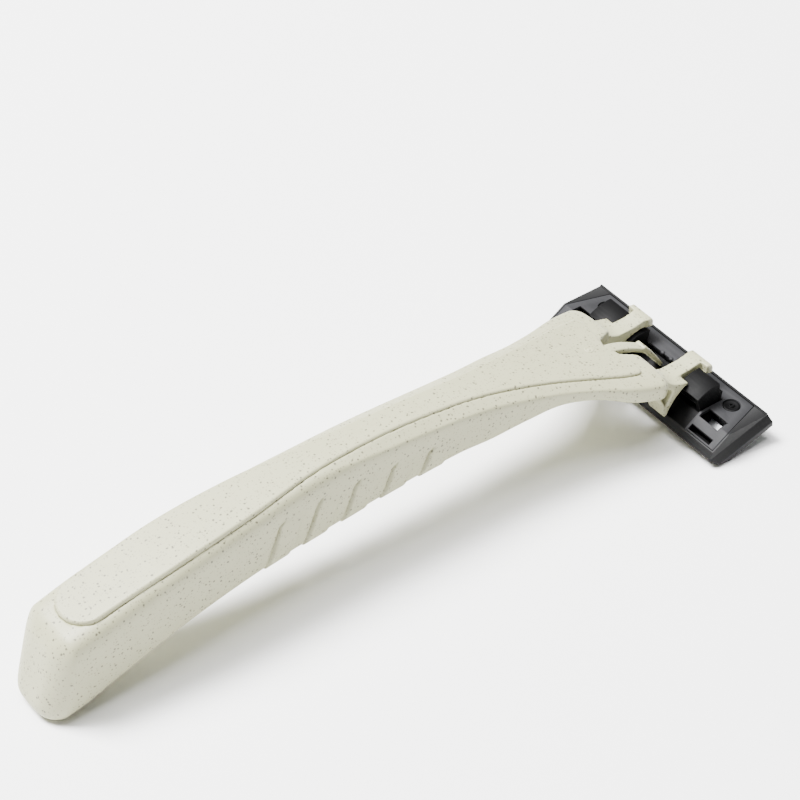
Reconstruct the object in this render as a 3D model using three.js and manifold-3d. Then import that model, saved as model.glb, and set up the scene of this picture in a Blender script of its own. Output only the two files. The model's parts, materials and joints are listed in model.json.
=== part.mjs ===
// A cartridge razor: an arched handle with a forked yoke, and a pivoting three-blade cartridge.
// Millimetres, +Z up. X runs from the handle's butt (-X) to the head (+X), and Y is the
// cartridge's long axis. The razor lies on its butt and on the cartridge's guard, back upwards.
// Everything is drawn from the pivot axis (x = 0), and the last lines move the origin to the
// middle of the razor's footprint on the table.
import * as THREE from "three";
import { mergeVertices } from "three/addons/utils/BufferGeometryUtils.js";
import Module from "manifold-3d";

const wasm = await Module();
wasm.setup();

// ---- Handle: driving dimensions ----
// One row for each station along the handle: x, half the width of the top cover, height of the
// cover's top, half the handle's full width, height of the shoulder, height of the belly.
const STATIONS = [
  [-119.0, 4.20, 13.00, 5.90, 12.40, 0.00],
  [-112.5, 4.40, 14.60, 6.10, 14.00, 0.00],
  [-104.5, 4.50, 16.35, 6.20, 15.80, 3.00],
  [-92.5, 4.70, 18.80, 6.05, 18.25, 6.60],
  [-80.5, 4.10, 20.30, 5.40, 19.60, 8.45],
  [-68.5, 2.80, 21.25, 4.70, 20.10, 9.15],
  [-56.5, 2.35, 21.25, 4.75, 19.65, 10.40],
  [-44.5, 2.55, 20.30, 5.00, 18.80, 11.25],
  [-38.5, 2.95, 19.50, 5.40, 18.15, 11.30],
  [-32.5, 3.80, 18.45, 6.20, 17.25, 12.40],
  [-26.5, 4.95, 17.20, 7.05, 16.00, 13.10],
  [-20.5, 6.40, 15.75, 8.65, 14.65, 12.10],
  [-14.5, 7.80, 14.20, 10.80, 13.20, 9.70],
  [-6.5, 8.60, 12.30, 12.20, 11.40, 8.00],
];
const SECTION_POWER = 5; // squareness of the handle's rounded section
const BUTT_X = -115.6; // butt's end face at mid height
const BUTT_LEAN = 0.31; // how far the end face leans out, per mm down
const BUTT_CORNER = 4.8;
const BUTT_HALF = 6.6;
const NOSE_X = -8.3; // front of the flare
const NOSE_HALF = 12.0;
const NOSE_CORNER = 2.6;

// Five raised grip pads down each side and round the belly.
const PAD_COUNT = 5;
const PAD_FIRST_X = -80.0;
const PAD_PITCH = 7.0;
const PAD_LENGTH = 4.3;
const PAD_HEIGHT = 0.35;
const PAD_LEAN = 0.42; // mm forward for each mm up
const PAD_TOP_BELOW_SHOULDER = 3.2;

// Top cover: a strip let into the handle's top, standing a little proud of the shoulders.
const COVER_STEP = 0.35;
const COVER_THICK = 1.5;
const COVER_BACK_X = -106.5;
const COVER_BACK_ROUND = 4.0;
const COVER_FRONT_X = -11.2;
const COVER_GAP = 0.15;

// Hollow under the cover, in three bays between ribs.
const WALL = 1.7;
const LEDGE = 0.8;
const BAYS = [[-105, -84], [-82.6, -60], [-58.6, -36]];

// Yoke: two arms over the cartridge, each with a T-shaped tip, a curved rail and a leg.
const NOTCH_BACK_X = -12.6;
const ARM_INNER_Y = 5.0;
const ARM_OUTER_Y = 8.0;
const TIP_INNER_Y = 4.75;
const TIP_OUTER_Y = 9.5;
const LEG_INNER_Y = 6.1;
const LEG_OUTER_Y = 9.9;
const RAIL_INNER_Y = 7.8;
const RAIL_OUTER_Y = 9.4;
const RAIL_FRONT_DEG = 84;
const RAIL_REAR_DEG = 112;

// Radii of the shell bearing, all about the pivot axis.
const PIVOT_Z = 1.0;
const BOSS_R = 6.2;
const ARM_R = 6.45;
const RAIL_IN_R = 5.75;
const HOOD_IN_R = 6.75;
const HOOD_OUT_R = 7.4;
const LEG_R = 7.7;

// Spring tongue between the arms.
const TONGUE_HALF = 1.05;

// ---- Cartridge: driving dimensions, in its own frame ----
// The frame's x lies in the shaving face and its z stands on it. It is the pivot axis turned
// down by the tilt that the head rests at.
const TILT = THREE.MathUtils.degToRad(15.7);
const FACE_Z = 0.1;
const FRAME_HALF = 20.8;
const BAND_HALF = 20.0;
const END_BEVEL_DROP = 1.4;
const FRONT_X = 5.35;
const RIDGE = [-2.42, 4.56];
const REAR_TOP = [-6.05, 3.42];
const FRONT_TOP_Z = 2.36;
const FRONT_LIP = 0.22;
const PLATE_THICK = 0.6;
const SEAT_HALF = 17.3;
const PLATE_FRONT_HALF = 17.3; // the plate's ends run out diagonally from here
const PLATE_REAR_HALF = 19.6; // to here, behind the ridge
const PLATE_FRONT_X = 4.85;
const PLATE_REAR_X = -5.75;
const PLATE_STRIP_REAR_X = 2.05;
const PLATE_TAB_Y = 13.2;
const OPENING_NEAR_Y = 13.65; // rinse window and slot
const WINDOW_FAR_Y = 17.9;
const SLOT_FAR_Y = 18.5;
const SLOT_FLOOR_Z = 1.9;
const FIT_GAP = 0.1;
const STRIP_HALF = 17; // guard and lubricating strips
const FIN_COUNT = 4;

const HOOD_INNER_Y = 8.35;
const HOOD_OUTER_Y = 13.1;
const HOOD_WALL = 0.8;
const HOOD_FRONT_DEG = 72;
const CHEEK_FRONT_X = 1.95; // clear of the plate's strip
const HOOD_REAR_DEG = 108;
const BOSS_INNER_Y = 4.4;
const BOSS_OUTER_Y = 7.55;
const BOSS_FRONT_DEG = 62;
const BOSS_REAR_DEG = 112;
const RECESS_FLOOR_Z = 1.62;
const CAM_HALF = 1.7;

const BLADE_COUNT = 3;
const BLADE_PITCH = 1.4;
const BLADE_FIRST_X = -3.4;
const BLADE_ANGLE = THREE.MathUtils.degToRad(22);
const BLADE_WIDTH = 1.5;
const BLADE_THICK = 0.12;
const BLADE_HALF = 17.6;
const SUPPORT_THICK = 0.25;
const SUPPORT_LEG = 0.6;
const CAVITY_TOP_Z = 1.0;
const SLOT_TOP_Z = 1.48;

const RIVET_X = 2.35;
const RIVET_Y = 15.1;
const RIVET_LENGTH = 1.9;
const RIVET_HEAD_R = 1.35;
const RIVET_SHANK_R = 0.5;
const COUNTERBORE_R = 1.5;
const COUNTERBORE_DEPTH = 0.45;

// ---- Finishes ----
const finish = (color, roughness, metalness = 0) =>
  new THREE.MeshStandardMaterial({ color, roughness, metalness });
const STONE_PLASTIC = finish(0xdcdccf, 0.55);
const BLACK_PLASTIC = finish(0x2a2a2b, 0.35);
const DARK_PLASTIC = finish(0x444445, 0.45);
const GREY_PLASTIC = finish(0x6c6c6e, 0.4);
const BLADE_STEEL = finish(0xc8cacc, 0.25, 1);
const SUPPORT_STEEL = finish(0xa9abad, 0.35, 1);
const SOFT_RUBBER = finish(0x333436, 0.8);
const STRIP_POLYMER = finish(0xbfd8c4, 0.5);

// ---- Solids ----
function solid(geometry) {
  geometry.deleteAttribute("normal");
  geometry.deleteAttribute("uv");
  const merged = mergeVertices(geometry, 1e-4);
  return new wasm.Manifold(new wasm.Mesh({
    numProp: 3,
    vertProperties: merged.attributes.position.array,
    triVerts: new Uint32Array(merged.index.array),
  }));
}

function piece(name, body, material) {
  const mesh = body.getMesh();
  const geometry = new THREE.BufferGeometry();
  geometry.setAttribute("position", new THREE.BufferAttribute(mesh.vertProperties, 3));
  geometry.setIndex(new THREE.BufferAttribute(mesh.triVerts, 1));
  geometry.computeVertexNormals();
  const part = new THREE.Mesh(geometry, material);
  part.name = name;
  return part;
}

const union = (bodies) => bodies.reduce((whole, next) => whole.add(next));

const extruded = (outline, depth, curveSegments) =>
  new THREE.ExtrudeGeometry(outline, { depth, curveSegments, bevelEnabled: false });

// A side outline (x, z), extruded along Y between two places.
function acrossWidth(outline, yA, yB, segments = 12) {
  const depth = Math.abs(yB - yA);
  const geometry = extruded(outline, depth, segments);
  geometry.rotateX(Math.PI / 2);
  geometry.translate(0, Math.max(yA, yB), 0);
  return solid(geometry);
}

// A plan outline (x, y), extruded upwards.
function upwards(outline, zA, zB, segments = 12) {
  const geometry = extruded(outline, zB - zA, segments);
  geometry.translate(0, 0, zA);
  return solid(geometry);
}

function block(x0, x1, y0, y1, z0, z1) {
  const geometry = new THREE.BoxGeometry(x1 - x0, y1 - y0, z1 - z0);
  geometry.translate((x0 + x1) / 2, (y0 + y1) / 2, (z0 + z1) / 2);
  return solid(geometry);
}

function polygon(points) {
  return new THREE.Shape(points.map(([x, y]) => new THREE.Vector2(x, y)));
}

// A ring sector about (x, z): between two radii and two angles in degrees.
function sector(x, z, inner, outer, fromDeg, toDeg) {
  const from = THREE.MathUtils.degToRad(fromDeg);
  const to = THREE.MathUtils.degToRad(toDeg);
  const outline = new THREE.Shape();
  outline.absarc(x, z, outer, from, to, false);
  outline.absarc(x, z, inner, to, from, true);
  outline.closePath();
  return outline;
}

// ---- Handle ----
// Each column of the stations, read at any x by a smooth curve through the rows.
function handleAt(x) {
  const last = STATIONS.length - 1;
  const found = STATIONS.findIndex((row) => row[0] > x);
  const i = THREE.MathUtils.clamp((found < 0 ? last : found) - 1, 0, last - 1);
  const a = STATIONS[i];
  const b = STATIONS[i + 1];
  const before = STATIONS[Math.max(i - 1, 0)];
  const after = STATIONS[Math.min(i + 2, last)];
  const span = b[0] - a[0];
  const t = (x - a[0]) / span;
  const read = (k) => {
    const slopeA = (b[k] - before[k]) / (b[0] - before[0]) * span;
    const slopeB = (after[k] - a[k]) / (after[0] - a[0]) * span;
    const rise = b[k] - a[k];
    return a[k] + slopeA * t + (3 * rise - 2 * slopeA - slopeB) * t * t
      + (slopeA + slopeB - 2 * rise) * t * t * t;
  };
  return { cover: read(1), crest: read(2), half: read(3), shoulder: read(4), belly: read(5) };
}

const squared = (value) => Math.sign(value) * Math.abs(value) ** (2 / SECTION_POWER);

// A body swept along X. sectionAt gives the rim's (y, z) for an x and an angle.
function swept(fromX, toX, steps, sides, sectionAt) {
  const geometry = new THREE.CylinderGeometry(1, 1, toX - fromX, sides, steps);
  geometry.rotateZ(-Math.PI / 2);
  geometry.translate((fromX + toX) / 2, 0, 0);
  const position = geometry.attributes.position;
  for (let i = 0; i < position.count; i += 1) {
    const x = position.getX(i);
    const rim = Math.hypot(position.getY(i), position.getZ(i)) > 0.5;
    const turn = Math.atan2(position.getZ(i), position.getY(i)) / (2 * Math.PI);
    const corner = (Math.round(turn * sides) + sides) % sides;
    const [y, z] = sectionAt(x, corner / sides * 2 * Math.PI, rim);
    position.setXYZ(i, x, y, z);
  }
  return solid(geometry);
}

function handleSection(grow) {
  return (x, angle, rim) => {
    const at = handleAt(x);
    const top = at.crest - COVER_STEP + grow;
    const bottom = at.belly - grow;
    const middle = (top + bottom) / 2;
    if (!rim) return [0, middle];
    const y = (at.half + grow) * squared(Math.cos(angle));
    const z = middle + (top - bottom) / 2 * squared(Math.sin(angle));
    const fall = (at.crest - COVER_STEP - at.shoulder) / (at.half - at.cover);
    const roof = top - Math.max(0, Math.abs(y) - at.cover) * fall;
    return [y, Math.min(z, roof)];
  };
}

function coreSection(x, angle, rim) {
  const at = handleAt(x);
  const top = at.crest - COVER_THICK + 0.3;
  const bottom = at.belly + WALL;
  const half = at.cover - LEDGE;
  const middle = (top + bottom) / 2;
  if (!rim) return [0, middle];
  return [half * squared(Math.cos(angle)), middle + (top - bottom) / 2 * squared(Math.sin(angle))];
}

// The leaning, round-cornered end of the butt.
function buttTrim() {
  const outline = new THREE.Shape();
  outline.moveTo(10, -20);
  outline.lineTo(10, 20);
  outline.lineTo(-95, 20);
  outline.lineTo(-95, BUTT_HALF);
  const cornerX = BUTT_X + BUTT_CORNER;
  const cornerY = BUTT_HALF - BUTT_CORNER;
  outline.absarc(cornerX, cornerY, BUTT_CORNER, Math.PI / 2, Math.PI, false);
  outline.absarc(cornerX, -cornerY, BUTT_CORNER, Math.PI, Math.PI * 1.5, false);
  outline.lineTo(-95, -BUTT_HALF);
  outline.lineTo(-95, -20);
  const geometry = extruded(outline, 40, 8);
  geometry.translate(0, 0, -10);
  const midHeight = 7;
  const position = geometry.attributes.position;
  for (let i = 0; i < position.count; i += 1) {
    position.setX(i, position.getX(i) + (position.getZ(i) - midHeight) * BUTT_LEAN);
  }
  return solid(geometry);
}

function noseTrim() {
  const outline = new THREE.Shape();
  outline.moveTo(-125, -NOSE_HALF);
  const cornerX = NOSE_X - NOSE_CORNER;
  const cornerY = NOSE_HALF - NOSE_CORNER;
  outline.lineTo(cornerX, -NOSE_HALF);
  outline.absarc(cornerX, -cornerY, NOSE_CORNER, -Math.PI / 2, 0, false);
  outline.absarc(cornerX, cornerY, NOSE_CORNER, 0, Math.PI / 2, false);
  outline.lineTo(-125, NOSE_HALF);
  return upwards(outline, -5, 30, 8);
}

// Plan outline of the cover: it follows the handle's waist, with a round back end and two
// front lobes beside the tongue's root.
function coverOutline(grow) {
  const outline = new THREE.Shape();
  const front = COVER_FRONT_X + grow;
  const lobe = handleAt(COVER_FRONT_X - 1.5).cover + grow;
  const root = TONGUE_HALF + 0.9;
  const side = [];
  for (let x = COVER_BACK_X; x < COVER_FRONT_X - 2; x += 3.5) {
    side.push([x, handleAt(x).cover + grow]);
  }
  outline.moveTo(NOTCH_BACK_X + 0.1, -root);
  outline.lineTo(front - 0.5, -4.2);
  outline.lineTo(front, -lobe + 1.2);
  outline.quadraticCurveTo(front, -lobe, front - 1.5, -lobe);
  side.slice().reverse().forEach(([x, y]) => outline.lineTo(x, -y));
  const round = COVER_BACK_ROUND + grow;
  const backHalf = side[0][1];
  outline.absellipse(COVER_BACK_X, 0, round, backHalf, -Math.PI / 2, -Math.PI * 1.5, true);
  side.forEach(([x, y]) => outline.lineTo(x, y));
  outline.lineTo(front - 1.5, lobe);
  outline.quadraticCurveTo(front, lobe, front, lobe - 1.2);
  outline.lineTo(front - 0.5, 4.2);
  outline.lineTo(NOTCH_BACK_X + 0.1, root);
  return outline;
}

// A slab that follows the handle's crest, between two depths below it.
function crestSlab(topBelow, bottomBelow) {
  const fromX = -114;
  const toX = -8;
  const steps = 36;
  const geometry = new THREE.BoxGeometry(toX - fromX, 30, 1, steps, 1, 1);
  geometry.translate((fromX + toX) / 2, 0, 0);
  const position = geometry.attributes.position;
  for (let i = 0; i < position.count; i += 1) {
    const crest = handleAt(position.getX(i)).crest;
    position.setZ(i, crest - (position.getZ(i) > 0 ? topBelow : bottomBelow));
  }
  return solid(geometry);
}

const cover = (grow, topBelow, bottomBelow) =>
  upwards(coverOutline(grow), 5, 30, 6).intersect(crestSlab(topBelow, bottomBelow));

// One grip pad: a slanted slice of a slightly larger handle.
function gripPad(index) {
  const backX = PAD_FIRST_X + index * PAD_PITCH;
  const at = handleAt(backX);
  const bottom = at.belly - 1;
  const top = at.shoulder - PAD_TOP_BELOW_SHOULDER;
  const lean = (top - bottom) * PAD_LEAN;
  const slice = polygon([
    [backX, bottom],
    [backX + PAD_LENGTH, bottom],
    [backX + PAD_LENGTH + lean, top - 1],
    [backX + lean, top],
  ]);
  const grown = swept(backX - 2, backX + 12, 7, 28, handleSection(PAD_HEIGHT));
  return grown.intersect(acrossWidth(slice, -10, 10));
}

// The U-shaped opening in the flare's front, between the arms.
function notch() {
  const half = [
    [NOTCH_BACK_X, 0.9],
    [-12.0, 1.9],
    [-10.2, 2.9],
    [-8.0, 3.9],
    [-5.8, ARM_INNER_Y],
    [4, ARM_INNER_Y],
  ];
  const curve = new THREE.CatmullRomCurve3(half.map(([x, y]) => new THREE.Vector3(x, y, 0)));
  const side = curve.getPoints(14).map((point) => [point.x, point.y]);
  const mirrored = side.map(([x, y]) => [x, -y]);
  return upwards(polygon([...mirrored, ...side.reverse()]), -2, 20);
}

function armOutline() {
  const outline = new THREE.Shape();
  const tip = Math.acos(1.8 / ARM_R);
  const foot = THREE.MathUtils.degToRad(128);
  outline.moveTo(-10.5, 10);
  outline.lineTo(-10.5, 12.4);
  outline.bezierCurveTo(-8.2, 11.6, -7.2, 8.7, -4.2, 8.6);
  outline.quadraticCurveTo(-1.6, 8.6, 0.2, 9.05);
  outline.lineTo(1.5, 9.05);
  outline.lineTo(1.8, PIVOT_Z + ARM_R * Math.sin(tip));
  outline.absarc(0, PIVOT_Z, ARM_R, tip, foot, false);
  return outline;
}

// The leg: a curved pad that the hood's back slides along, on a thinner web.
function legOutline() {
  const outline = new THREE.Shape();
  const head = THREE.MathUtils.degToRad(113);
  const foot = THREE.MathUtils.degToRad(161);
  outline.moveTo(-7.9, 3.3);
  outline.lineTo(-8.7, 6.3);
  outline.lineTo(-10.2, 8.8);
  outline.lineTo(-10.2, 11.8);
  outline.lineTo(-8.4, 11.2);
  outline.quadraticCurveTo(-6.6, 9.0, -4.3, 8.55);
  outline.lineTo(LEG_R * Math.cos(head), PIVOT_Z + LEG_R * Math.sin(head));
  outline.absarc(0, PIVOT_Z, LEG_R, head, foot, false);
  return outline;
}

const legPocket = () => polygon([
  [-7.9, 9.0], [-6.3, 8.0], [-7.1, 6.7], [-7.75, 5.2], [-8.3, 6.6], [-9.2, 8.6],
]);

// A T-shaped tip: the stop that the hood's front edge rests on.
function tipOutline() {
  return polygon([[0.95, 7.5], [2.15, 7.15], [2.35, 8.1], [2.05, 8.85], [1.0, 9.05]]);
}

function yokeSide(side) {
  const arm = acrossWidth(armOutline(), side * ARM_INNER_Y, side * ARM_OUTER_Y);
  const leg = acrossWidth(legOutline(), side * LEG_INNER_Y, side * LEG_OUTER_Y);
  const pocket = acrossWidth(legPocket(), side * (LEG_OUTER_Y - 1.2), side * (LEG_OUTER_Y + 1));
  const tip = acrossWidth(tipOutline(), side * TIP_INNER_Y, side * TIP_OUTER_Y);
  const rootArc = sector(0, PIVOT_Z, RAIL_IN_R, HOOD_IN_R, RAIL_FRONT_DEG, RAIL_REAR_DEG);
  const railArc = sector(0, PIVOT_Z, RAIL_IN_R, ARM_R, RAIL_FRONT_DEG, RAIL_REAR_DEG);
  const railRoot = acrossWidth(rootArc, side * RAIL_INNER_Y, side * (ARM_OUTER_Y + 0.15));
  const rail = acrossWidth(railArc, side * RAIL_INNER_Y, side * RAIL_OUTER_Y);
  return union([arm, leg.subtract(pocket), tip, railRoot, rail]);
}

function handleBody() {
  let body = swept(-119, -6.5, 56, 28, handleSection(0));
  for (let i = 0; i < PAD_COUNT; i += 1) body = body.add(gripPad(i));
  body = body.intersect(buttTrim()).intersect(noseTrim());
  const sweptHead = sector(0, PIVOT_Z, 0.5, LEG_R, 60, 175);
  body = body.subtract(acrossWidth(sweptHead, -22, 22));
  body = union([body, yokeSide(-1), yokeSide(1)]);
  body = body.subtract(notch());
  const pocket = cover(COVER_GAP, -3, COVER_THICK + COVER_GAP);
  const bays = union(BAYS.map(([fromX, toX]) => swept(fromX, toX, 6, 16, coreSection)));
  return body.subtract(pocket).subtract(bays);
}

const topCover = () => cover(0, 0, COVER_THICK);

// The tongue leaves the cover's front, runs level, then bends down on to the cartridge.
function springTongue() {
  const outline = new THREE.Shape();
  outline.moveTo(NOTCH_BACK_X + 0.25, 12.1);
  outline.lineTo(NOTCH_BACK_X + 0.25, 12.95);
  outline.bezierCurveTo(-9.4, 12.5, -6.8, 11.0, -4.9, 9.95);
  outline.lineTo(-4.3, 9.95);
  outline.bezierCurveTo(-3.3, 8.9, -1.9, 6.9, -0.35, 4.5);
  outline.lineTo(-0.95, 4.15);
  outline.bezierCurveTo(-2.6, 6.3, -3.7, 7.9, -4.9, 9.0);
  outline.bezierCurveTo(-6.8, 10.2, -9.4, 11.6, NOTCH_BACK_X + 0.25, 12.1);
  return acrossWidth(outline, -TONGUE_HALF, TONGUE_HALF, 8);
}

// ---- Cartridge ----
// Height of the back's roof at any x of the cartridge's frame.
function roofAt(x) {
  const [ridgeX, ridgeZ] = RIDGE;
  const [rearX, rearZ] = REAR_TOP;
  if (x < ridgeX) return rearZ + (x - rearX) * (ridgeZ - rearZ) / (ridgeX - rearX);
  return ridgeZ + (x - ridgeX) * (FRONT_TOP_Z - ridgeZ) / (FRONT_X - ridgeX);
}

// A layer that follows the roof between two depths, from one x to another.
function roofLayer(x0, x1, topBelow, bottomBelow, y0, y1) {
  const stops = [x0, x1];
  if (x0 < RIDGE[0] && x1 > RIDGE[0]) stops.splice(1, 0, RIDGE[0]);
  const top = stops.map((x) => [x, roofAt(x) - topBelow]);
  const bottom = stops.map((x) => [x, roofAt(x) - bottomBelow]).reverse();
  return acrossWidth(polygon([...bottom, ...top]), y0, y1);
}

// What is cut away at each end of the frame: the upright step and the bevel below it.
function endTrim(side) {
  const outline = polygon([
    [side * BAND_HALF, FRONT_TOP_Z + 3.2],
    [side * BAND_HALF, FRONT_TOP_Z - 0.1],
    [side * (FRAME_HALF + 0.1), FRONT_TOP_Z - 0.1 - END_BEVEL_DROP],
    [side * (FRAME_HALF + 3), FRONT_TOP_Z - 0.1 - END_BEVEL_DROP],
    [side * (FRAME_HALF + 3), FRONT_TOP_Z + 3.2],
  ]);
  const geometry = extruded(outline, 20, 1);
  geometry.rotateX(Math.PI / 2);
  geometry.rotateZ(Math.PI / 2);
  geometry.translate(-10, 0, 0);
  return solid(geometry);
}

function bladeWindow() {
  const front = BLADE_FIRST_X + (BLADE_COUNT - 1) * BLADE_PITCH + 1.75;
  return block(BLADE_FIRST_X - 0.35, front, -18.2, 18.2, FACE_Z - 1, 2);
}

// Both rivets' holes, square to the back's front slope, from one depth under it to another.
function rivetHoles(radius, topBelow, bottomBelow) {
  const holes = [-1, 1].map((side) => {
    const hole = new THREE.CylinderGeometry(radius, radius, bottomBelow - topBelow, 20);
    hole.rotateX(Math.PI / 2);
    hole.translate(0, 0, -(topBelow + bottomBelow) / 2);
    return onFrontSlope(hole, side);
  });
  return union(holes);
}

// Stands a piece drawn about the z axis where a rivet goes through the front slope.
function onFrontSlope(geometry, side) {
  geometry.rotateY(Math.atan2(RIDGE[1] - FRONT_TOP_Z, FRONT_X - RIDGE[0]));
  geometry.translate(RIVET_X, side * RIVET_Y, roofAt(RIVET_X));
  return solid(geometry);
}

function cartridgeFrame() {
  const outline = polygon([
    [FRONT_X, FACE_Z],
    [FRONT_X + 0.15, 0.9],
    [FRONT_X, roofAt(FRONT_X) + FRONT_LIP],
    [FRONT_X - 0.4, roofAt(FRONT_X - 0.4) + FRONT_LIP],
    [FRONT_X - 0.4, roofAt(FRONT_X - 0.4)],
    RIDGE,
    REAR_TOP,
    [-6.95, 2.45],
    [-6.75, 1.9],
    [-5.85, 0.85],
    [-3.93, FACE_Z],
  ]);
  let frame = acrossWidth(outline, -FRAME_HALF, FRAME_HALF);
  frame = frame.subtract(endTrim(-1)).subtract(endTrim(1));
  const seatRoom = acrossWidth(seatOutline(FIT_GAP), -SEAT_HALF - FIT_GAP, SEAT_HALF + FIT_GAP);
  frame = frame.subtract(seatRoom).subtract(bladeWindow());
  frame = frame.subtract(plateBlank(FIT_GAP, -1)).subtract(windowHoles(0.15));
  const room = STRIP_HALF + FIT_GAP;
  frame = frame.subtract(acrossWidth(stripOutline(FIT_GAP), -room, room));
  frame = frame.subtract(acrossWidth(guardSeat(), -room, room));
  return frame.subtract(rivetHoles(RIVET_SHANK_R + 0.1, -1, RIVET_LENGTH + 0.1));
}

// Side outline of the seat and of the room that the frame leaves for it.
function seatOutline(grow) {
  const x0 = PLATE_REAR_X - grow;
  const x1 = PLATE_FRONT_X + grow;
  return polygon([
    [x1, 1.15 - grow],
    [x1, roofAt(x1) + (grow > 0 ? 1 : -PLATE_THICK - FIT_GAP)],
    [RIDGE[0], RIDGE[1] + (grow > 0 ? 1 : -PLATE_THICK - FIT_GAP)],
    [x0, roofAt(x0) + (grow > 0 ? 1 : -PLATE_THICK - FIT_GAP)],
    [x0, 1.6 - grow],
    [-4.2, 1.15 - grow],
  ]);
}

function stripOutline(grow) {
  return polygon([
    [1.75 - grow, FACE_Z + 0.6 + grow],
    [1.75 - grow, FACE_Z - 0.12],
    [2.6, FACE_Z - 0.2],
    [3.9, FACE_Z - 0.2],
    [4.75 + grow, FACE_Z - 0.12],
    [4.75 + grow, FACE_Z + 0.6 + grow],
  ]);
}

const guardSeat = () => polygon([[-5.95, 0.7], [-5.75, 1.35], [-4.1, 0.72], [-4.05, 0.0]]);

// Elastomer guard strip: a thin base with fine fins along the cartridge.
function guardStrip() {
  const backing = polygon([[-5.72, 1.0], [-5.66, 1.22], [-4.22, 0.68], [-4.2, 0.36]]);
  const base = acrossWidth(backing, -STRIP_HALF, STRIP_HALF);
  const fins = [];
  for (let i = 0; i < FIN_COUNT; i += 1) {
    const x = -5.5 + i * 0.38;
    const z = 0.98 - i * 0.165;
    const fin = polygon([[x, z], [x - 0.05, z - 0.42], [x + 0.1, z - 0.42], [x + 0.22, z - 0.05]]);
    fins.push(acrossWidth(fin, -STRIP_HALF, STRIP_HALF));
  }
  return union([base, ...fins]);
}

const lubricatingStrip = () => acrossWidth(stripOutline(0), -STRIP_HALF, STRIP_HALF);

// Black seat under the plate: it holds the blade supports and carries the pivot's bearings.
function bearingSeat() {
  let seat = acrossWidth(seatOutline(0), -SEAT_HALF, SEAT_HALF);
  const cavityFront = BLADE_FIRST_X + (BLADE_COUNT - 1) * BLADE_PITCH + 1.9;
  seat = seat.subtract(block(BLADE_FIRST_X - 0.5, cavityFront, -18.3, 18.3, 0, CAVITY_TOP_Z));
  for (let i = 0; i < BLADE_COUNT; i += 1) {
    const x = supportLegX(i);
    seat = seat.subtract(block(x - 0.12, x + SUPPORT_THICK + 0.12, -18.3, 18.3, 0.8, SLOT_TOP_Z));
  }
  seat = seat.subtract(windowHoles(0.15));
  // Open middle: the tongue's recess, and the wide black bay that the yoke works in.
  const recessFront = PLATE_STRIP_REAR_X + 0.05;
  const recess = block(-4.6, recessFront, -BOSS_INNER_Y, BOSS_INNER_Y, RECESS_FLOOR_Z, 8);
  seat = seat.subtract(recess).add(acrossWidth(camOutline(), -CAM_HALF, CAM_HALF));
  seat = seat.subtract(rivetHoles(RIVET_SHANK_R + 0.1, -1, 4));
  return union([seat, bearings(-1), bearings(1)]);
}

// The raised pad in the recess that the tongue presses on.
const camOutline = () => polygon([[-2.0, 1.4], [-0.8, 2.85], [1.0, 2.85], [1.7, 1.4]]);

// The hood's outer wall: a round top on upright front and rear edges.
function cheekOutline() {
  const from = THREE.MathUtils.degToRad(HOOD_FRONT_DEG);
  const to = THREE.MathUtils.degToRad(HOOD_REAR_DEG);
  const outline = new THREE.Shape();
  outline.moveTo(CHEEK_FRONT_X, 2.6);
  outline.lineTo(CHEEK_FRONT_X, 4.6);
  outline.lineTo(HOOD_OUT_R * Math.cos(from), HOOD_OUT_R * Math.sin(from));
  outline.absarc(0, 0, HOOD_OUT_R, from, to, false);
  outline.lineTo(HOOD_OUT_R * Math.cos(to), 2.6);
  return outline;
}

// A curved boss under the arm, a hood over the rail, and the hood's closed outer wall.
function bearings(side) {
  const bossArc = sector(0, 0, 2.6, BOSS_R, BOSS_FRONT_DEG, BOSS_REAR_DEG);
  const rootArc = sector(0, 0, 2.6, RAIL_IN_R - 0.25, BOSS_FRONT_DEG, BOSS_REAR_DEG);
  const boss = acrossWidth(bossArc, side * BOSS_INNER_Y, side * BOSS_OUTER_Y);
  const root = acrossWidth(rootArc, side * BOSS_INNER_Y, side * HOOD_OUTER_Y);
  const shell = sector(0, 0, HOOD_IN_R, HOOD_OUT_R, HOOD_FRONT_DEG, HOOD_REAR_DEG);
  const hood = acrossWidth(shell, side * HOOD_INNER_Y, side * HOOD_OUTER_Y);
  const wall = acrossWidth(cheekOutline(), side * (HOOD_OUTER_Y - HOOD_WALL), side * HOOD_OUTER_Y);
  return union([boss, root, hood, wall]);
}

// Rinse openings through the back near each end: a window and a narrow slot.
function windowHoles(grow) {
  const holes = [];
  for (const side of [-1, 1]) {
    const near = side * (OPENING_NEAR_Y - grow);
    const windowFar = side * (WINDOW_FAR_Y + grow);
    const slotFar = side * (SLOT_FAR_Y + grow);
    const across = (far) => [Math.min(near, far), Math.max(near, far)];
    holes.push(block(-3.0 - grow, -0.8 + grow, ...across(windowFar), 0, 7));
    holes.push(block(-5.5 - grow, -4.5 + grow, ...across(slotFar), SLOT_FLOOR_Z, 7));
  }
  return union(holes);
}

// The whole plate before it is cut: a layer on the roof whose ends run out diagonally.
function plateBlank(grow, topBelow) {
  const rearX = PLATE_REAR_X - grow;
  const frontX = PLATE_FRONT_X + grow;
  const rearHalf = PLATE_REAR_HALF + grow;
  const frontHalf = PLATE_FRONT_HALF + grow;
  const plan = polygon([
    [rearX, -rearHalf],
    [RIDGE[0], -rearHalf],
    [frontX, -frontHalf],
    [frontX, frontHalf],
    [RIDGE[0], rearHalf],
    [rearX, rearHalf],
  ]);
  const layer = roofLayer(rearX, frontX, topBelow, PLATE_THICK + grow, -rearHalf, rearHalf);
  return layer.intersect(upwards(plan, 0, 9));
}

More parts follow.
